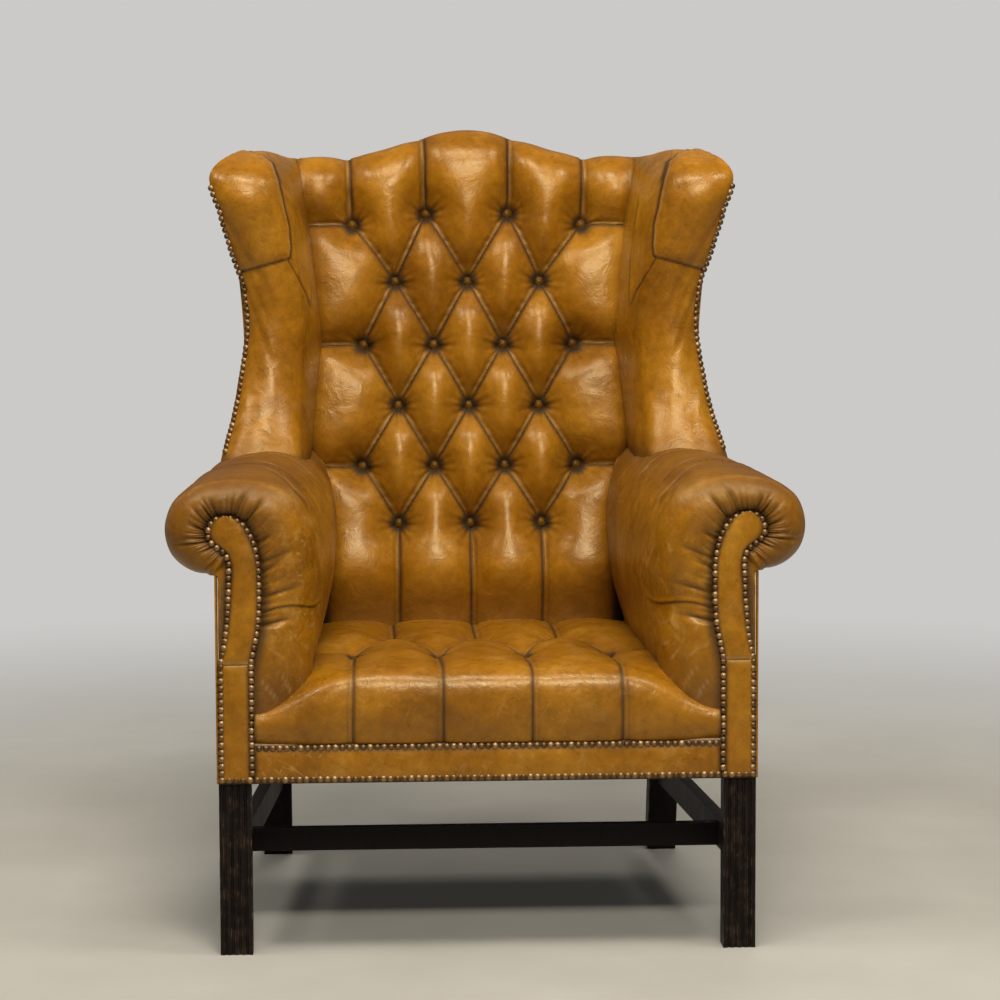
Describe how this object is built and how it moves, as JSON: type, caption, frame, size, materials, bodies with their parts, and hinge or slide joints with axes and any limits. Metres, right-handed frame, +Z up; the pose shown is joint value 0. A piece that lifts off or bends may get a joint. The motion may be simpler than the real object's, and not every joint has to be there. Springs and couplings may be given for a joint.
{
  "type": "wing chair",
  "caption": "Wing chair in tan leather with diamond-tufted back and seat, scroll arms with nailed fronts, serpentine crest, square moulded legs and an H-stretcher.",
  "frame": {"origin": "on the floor under the middle of the chair's box", "axes": "+Z up, -Y the way the sitter faces, +X to the right of someone looking at the chair's front"},
  "size_m": [0.864, 0.7945, 1.1222],
  "materials": {
    "dark_wood": "dark worn polish",
    "frame_wood": "sawn, unfinished",
    "screw_steel": "plain",
    "spring_steel": "coppered wire",
    "hessian": "open weave",
    "webbing": "woven strap",
    "dust_cloth": "plain black cloth",
    "padding": "stuffed, glossy aged tan cover",
    "tan_leather": "glossy, aged and mottled"
  },
  "bodies": {
    "root": {"front_leg_left": "dark_wood", "front_leg_right": "dark_wood", "rear_leg_left": "dark_wood", "rear_leg_right": "dark_wood", "side_stretcher_left": "dark_wood", "side_stretcher_right": "dark_wood", "side_seat_rail_left": "frame_wood", "side_seat_rail_right": "frame_wood", "arm_post_left": "frame_wood", "arm_post_right": "frame_wood", "arm_tacking_rail_left": "frame_wood", "arm_tacking_rail_right": "frame_wood", "arm_rail_left": "frame_wood", "arm_rail_right": "frame_wood", "wing_post_left": "frame_wood", "wing_post_right": "frame_wood", "wing_rail_left": "frame_wood", "wing_rail_right": "frame_wood", "arm_hessian_left": "hessian", "arm_hessian_right": "hessian", "wing_hessian_left": "hessian", "wing_hessian_right": "hessian", "arm_pad_left": "padding", "arm_pad_right": "padding", "wing_pad_left": "padding", "wing_pad_right": "padding", "outside_arm_panel_left": "tan_leather", "outside_arm_panel_right": "tan_leather", "outside_wing_panel_left": "tan_leather", "outside_wing_panel_right": "tan_leather", "arm_front_panel_left": "tan_leather", "arm_front_panel_right": "tan_leather", "post_front_panel_left": "tan_leather", "post_front_panel_right": "tan_leather", "cross_stretcher": "dark_wood", "front_seat_rail": "frame_wood", "rear_seat_rail": "frame_wood", "crest_rail": "frame_wood", "back_tacking_rail": "frame_wood", "corner_blocks": "frame_wood", "corner_block_screws": "screw_steel", "seat_hessian": "hessian", "seat_webbing": "webbing", "seat_springs": "spring_steel", "dust_cover": "dust_cloth", "back_webbing": "webbing", "back_hessian": "hessian", "seat_pad": "padding", "inside_back_pad": "padding", "front_border": "tan_leather", "outside_back_panel": "tan_leather", "seat_buttons": "tan_leather", "back_buttons": "tan_leather"}
  },
  "joints": []
}
